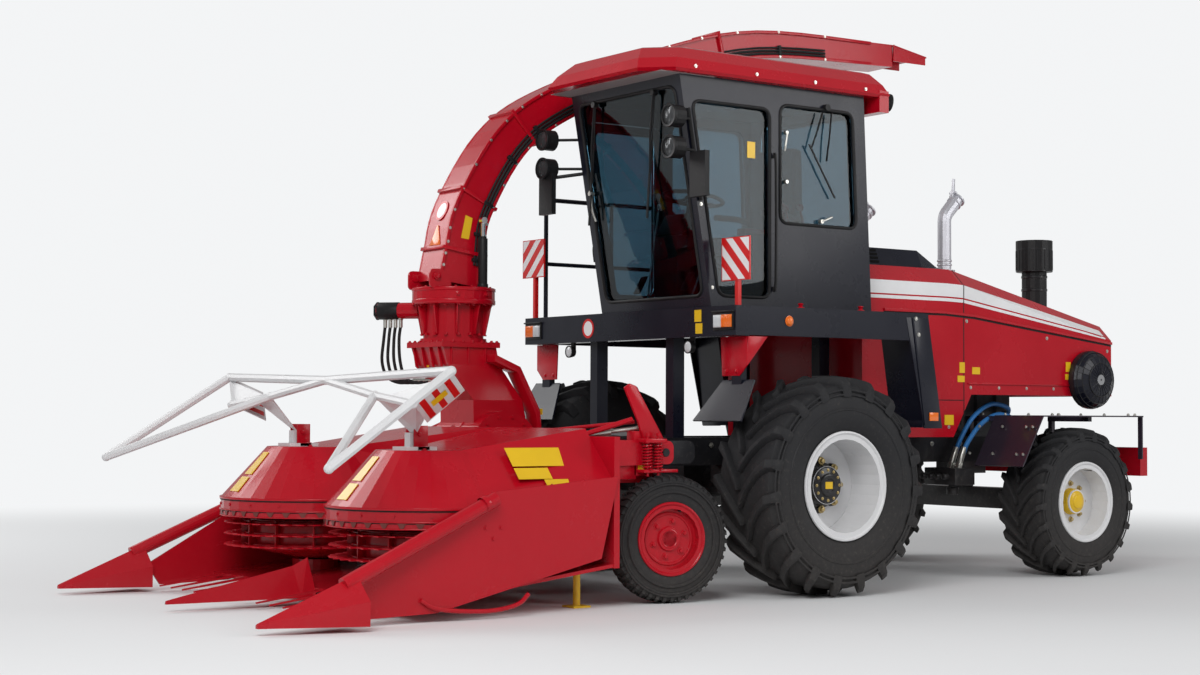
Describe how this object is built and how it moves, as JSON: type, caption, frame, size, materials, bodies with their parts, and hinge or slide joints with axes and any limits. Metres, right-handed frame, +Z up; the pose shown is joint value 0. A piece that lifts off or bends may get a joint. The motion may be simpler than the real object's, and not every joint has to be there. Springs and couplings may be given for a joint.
{
  "type": "self-propelled forage harvester",
  "caption": "Self-propelled forage harvester with a row-crop header of rotating drums, a swinging discharge spout, a glazed cab and a rear engine under a sloping bonnet.",
  "frame": {"origin": "centre of the bounding box on the ground plane, on the machine's centre line", "axes": "+X towards the machine's left side, -Y forwards past the header, +Z up"},
  "size_m": [3.08, 7.434, 3.9702],
  "materials": {
    "red_paint": "gloss",
    "white_paint": "gloss",
    "yellow_paint": "satin",
    "board_paint": "satin",
    "black_paint": "gloss",
    "chassis_paint": "satin",
    "engine_paint": "matte",
    "exhaust_steel": "satin",
    "black_plastic": "satin",
    "glass": "gloss",
    "seat_fabric": "matte",
    "tyre_rubber": "matte"
  },
  "bodies": {
    "chassis": {"chassis_frame": "chassis_paint", "rear_axle": "chassis_paint", "engine_block": "engine_paint", "bonnet": "red_paint", "bonnet_grille": "black_paint", "radiator_screen": "black_plastic", "exhaust_left": "exhaust_steel", "exhaust_right": "exhaust_steel", "air_precleaner": "black_plastic", "platform": "black_paint", "cab_shell": "black_paint", "cab_roof": "red_paint", "windscreen": "glass", "glass_rear": "glass", "glass_left_front": "glass", "glass_left_rear": "glass", "glass_right_rear": "glass", "seat": "seat_fabric", "steering_column": "black_plastic", "mirror_left": "black_plastic", "mirror_right": "black_plastic", "warning_board_left": "board_paint", "warning_board_right": "board_paint", "handrail": "black_paint", "ladder": "black_paint", "fender_left": "black_paint", "fender_right": "black_paint", "rear_bumper": "red_paint", "chopper_housing": "red_paint", "spout_neck": "red_paint"},
    "door": {"cab_door": "black_paint", "cab_door_glass": "glass"},
    "turret": {"spout_turret": "red_paint"},
    "spout_arm": {"spout": "red_paint"},
    "flap": {"spout_flap": "red_paint"},
    "header": {"header_frame": "red_paint", "drum_hood_left": "red_paint", "drum_hood_right": "red_paint", "side_divider_left": "red_paint", "side_divider_right": "red_paint", "divider_middle": "red_paint", "crop_guard": "white_paint"},
    "left_rotor": {"rotor_left": "red_paint"},
    "right_rotor": {"rotor_right": "red_paint"},
    "left_stand": {"stand_left": "yellow_paint"},
    "right_stand": {"stand_right": "yellow_paint"},
    "left_header_wheel": {"header_tyre_left": "tyre_rubber", "header_rim_left": "red_paint"},
    "right_header_wheel": {"header_tyre_right": "tyre_rubber", "header_rim_right": "red_paint"},
    "left_drive_wheel": {"drive_tyre_left": "tyre_rubber", "drive_rim_left": "white_paint"},
    "right_drive_wheel": {"drive_tyre_right": "tyre_rubber", "drive_rim_right": "white_paint"},
    "left_knuckle": {"knuckle_left": "chassis_paint"},
    "right_knuckle": {"knuckle_right": "chassis_paint"},
    "left_rear_wheel": {"rear_tyre_left": "tyre_rubber", "rear_rim_left": "white_paint"},
    "right_rear_wheel": {"rear_tyre_right": "tyre_rubber", "rear_rim_right": "white_paint"}
  },
  "joints": [
    {"name": "door_swing", "type": "hinge", "parent": "chassis", "child": "door", "pos_m": [-0.2953, 0.123, 1.88], "axis": [0, 0, -1], "range_deg": [0, 80]},
    {"name": "spout_swing", "type": "hinge", "parent": "chassis", "child": "turret", "pos_m": [-0.7, -1.283, 1.8853], "axis": [0, 0, 1], "range_deg": [0, 205]},
    {"name": "spout_lift", "type": "hinge", "parent": "turret", "child": "spout_arm", "pos_m": [-0.71125, -1.4977, 2.03], "axis": [0.9986, -0.0523, 0], "range_deg": [0, 20]},
    {"name": "flap_tilt", "type": "hinge", "parent": "spout_arm", "child": "flap", "pos_m": [-0.50445, 2.44835, 3.96218], "axis": [-0.9986, 0.0523, 0], "range_deg": [0, 60]},
    {"name": "header_lift", "type": "hinge", "parent": "chassis", "child": "header", "pos_m": [0, -0.853, 0.9], "axis": [-1, 0, 0], "range_deg": [0, 15]},
    {"name": "left_rotor_spin", "type": "hinge", "parent": "header", "child": "left_rotor", "pos_m": [0.69, -2.293, 0.2153], "axis": [0, 0, 1], "continuous": true},
    {"name": "right_rotor_spin", "type": "hinge", "parent": "header", "child": "right_rotor", "pos_m": [-0.69, -2.293, 0.2153], "axis": [0, 0, 1], "continuous": true},
    {"name": "left_stand_slide", "type": "slide", "parent": "header", "child": "left_stand", "axis": [0, 0, 1], "range_m": [0, 0.19]},
    {"name": "right_stand_slide", "type": "slide", "parent": "header", "child": "right_stand", "axis": [0, 0, 1], "range_m": [0, 0.19]},
    {"name": "left_header_wheel_spin", "type": "hinge", "parent": "header", "child": "left_header_wheel", "pos_m": [1.1, -0.883, 0.385], "axis": [0.9781, -0.2079, 0], "continuous": true},
    {"name": "right_header_wheel_spin", "type": "hinge", "parent": "header", "child": "right_header_wheel", "pos_m": [-1.1, -0.883, 0.385], "axis": [0.9781, 0.2079, 0], "continuous": true},
    {"name": "left_drive_spin", "type": "hinge", "parent": "chassis", "child": "left_drive_wheel", "pos_m": [1.22, 0.247, 0.69], "axis": [1, 0, 0], "continuous": true},
    {"name": "right_drive_spin", "type": "hinge", "parent": "chassis", "child": "right_drive_wheel", "pos_m": [-1.22, 0.247, 0.69], "axis": [1, 0, 0], "continuous": true},
    {"name": "left_steer", "type": "hinge", "parent": "chassis", "child": "left_knuckle", "pos_m": [0.82, 2.791, 0.525], "axis": [0, 0, 1], "range_deg": [-30, 30]},
    {"name": "right_steer", "type": "hinge", "parent": "chassis", "child": "right_knuckle", "pos_m": [-0.82, 2.791, 0.525], "axis": [0, 0, 1], "range_deg": [-30, 30]},
    {"name": "left_rear_spin", "type": "hinge", "parent": "left_knuckle", "child": "left_rear_wheel", "pos_m": [1.02, 2.791, 0.525], "axis": [1, 0, 0], "continuous": true},
    {"name": "right_rear_spin", "type": "hinge", "parent": "right_knuckle", "child": "right_rear_wheel", "pos_m": [-1.02, 2.791, 0.525], "axis": [1, 0, 0], "continuous": true}
  ],
  "couplings": [
    {"joint": "right_steer", "follows": "left_steer", "ratio": 1}
  ]
}
